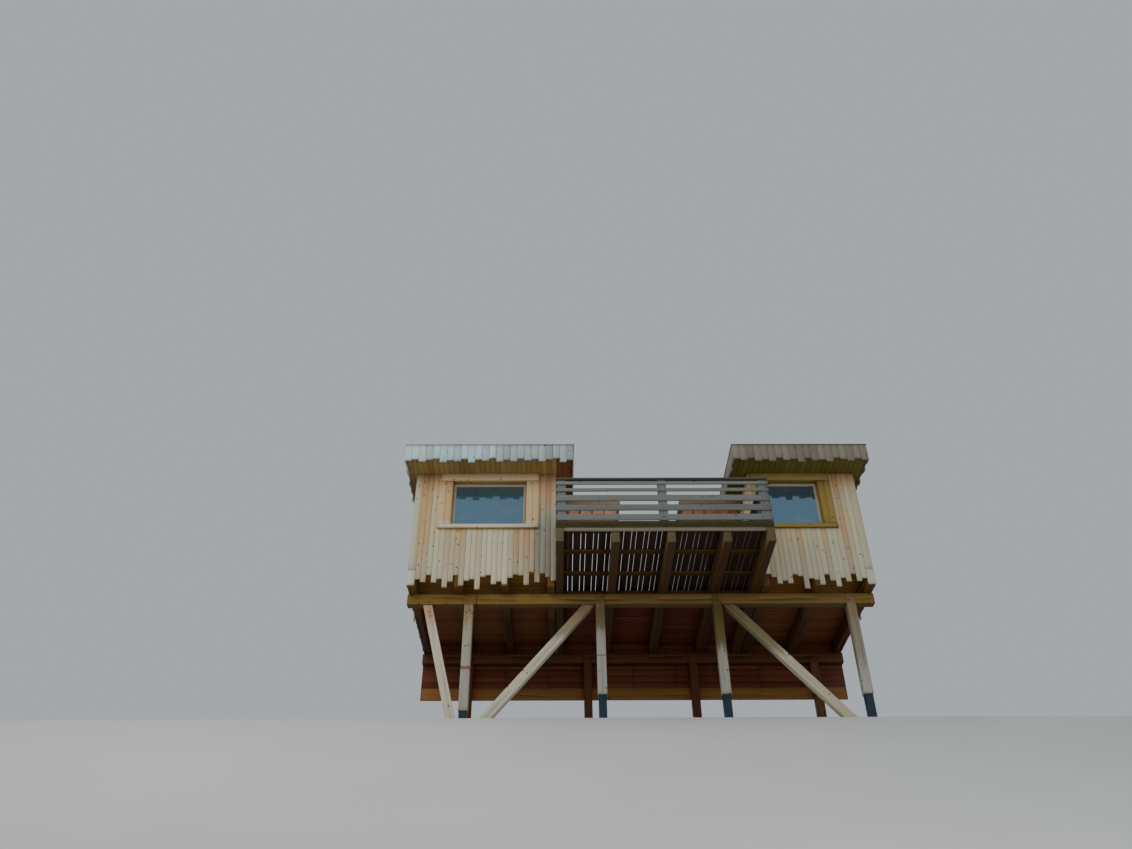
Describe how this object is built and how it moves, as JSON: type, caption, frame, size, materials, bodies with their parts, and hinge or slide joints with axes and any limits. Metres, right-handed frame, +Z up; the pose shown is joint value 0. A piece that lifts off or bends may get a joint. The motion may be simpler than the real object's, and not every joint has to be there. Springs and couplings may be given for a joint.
{
  "type": "tree house",
  "caption": "Timber tree house on square posts: two flat-roofed cabins with ragged board cladding and an open deck and balcony between them.",
  "frame": {"origin": "centre of the overall plan, on the level ground under the posts", "axes": "+X along the front from left to right, +Y from the front to the back, +Z up"},
  "size_m": [9.74, 5.935, 5.685],
  "materials": {
    "beam_timber": "rough-sawn timber, ochre, lightly weathered",
    "dark_timber": "rough-sawn timber, dark red-brown stain",
    "post_timber": "square timber, weathered grey with checks",
    "brace_timber": "square timber, weathered pale grey",
    "bearer_timber": "rough-sawn timber, brown",
    "rim_timber": "sawn timber, pale",
    "deck_timber": "sawn boards, brown underside",
    "rail_timber": "sawn boards, weathered grey",
    "canopy_timber": "sawn boards, orange-brown",
    "skirt_panel": "boards with a dark red-brown stain",
    "floor_panel": "boarded floor, red-brown underside",
    "wall_lining": "planed boards, warm",
    "cladding_timber": "upright sawn boards, honey to grey",
    "frame_timber": "planed timber, oiled",
    "casing_timber": "sawn boards, honey",
    "soffit_timber": "boards, golden",
    "fascia_timber": "upright sawn boards, silver-grey",
    "roof_cover": "dark matt sheet with flecks of wear",
    "shoe_metal": "blue-grey coating, scuffed",
    "glass": "clear float glass"
  },
  "bodies": {
    "root": {"front_beam": "beam_timber", "rear_beam": "dark_timber", "front_posts": "post_timber", "rear_posts": "dark_timber", "post_shoes": "shoe_metal", "short_brace": "brace_timber", "long_brace": "brace_timber", "right_brace": "brace_timber", "cabin_bearers": "bearer_timber", "deck_bearers": "bearer_timber", "rear_skirt": "skirt_panel", "skirt_rail": "bearer_timber", "deck_joists": "bearer_timber", "deck_rims": "rim_timber", "deck_boards": "deck_timber", "balustrade_posts": "rail_timber", "front_balustrade": "rail_timber", "side_balustrades": "rail_timber", "rear_balustrades": "rail_timber", "handrails": "rail_timber", "door_canopies": "canopy_timber", "left_floor": "floor_panel", "left_front_wall": "wall_lining", "left_rear_wall": "wall_lining", "left_outer_wall": "wall_lining", "left_inner_wall": "wall_lining", "left_cladding": "cladding_timber", "left_window_frames": "frame_timber", "left_window_panes": "glass", "left_casings": "casing_timber", "left_soffit": "soffit_timber", "left_roof": "roof_cover", "left_fascia": "fascia_timber", "right_floor": "floor_panel", "right_front_wall": "wall_lining", "right_rear_wall": "wall_lining", "right_outer_wall": "wall_lining", "right_inner_wall": "wall_lining", "right_cladding": "cladding_timber", "right_window_frames": "frame_timber", "right_window_panes": "glass", "right_casings": "casing_timber", "right_soffit": "soffit_timber", "right_roof": "roof_cover", "right_fascia": "fascia_timber"}
  },
  "joints": []
}
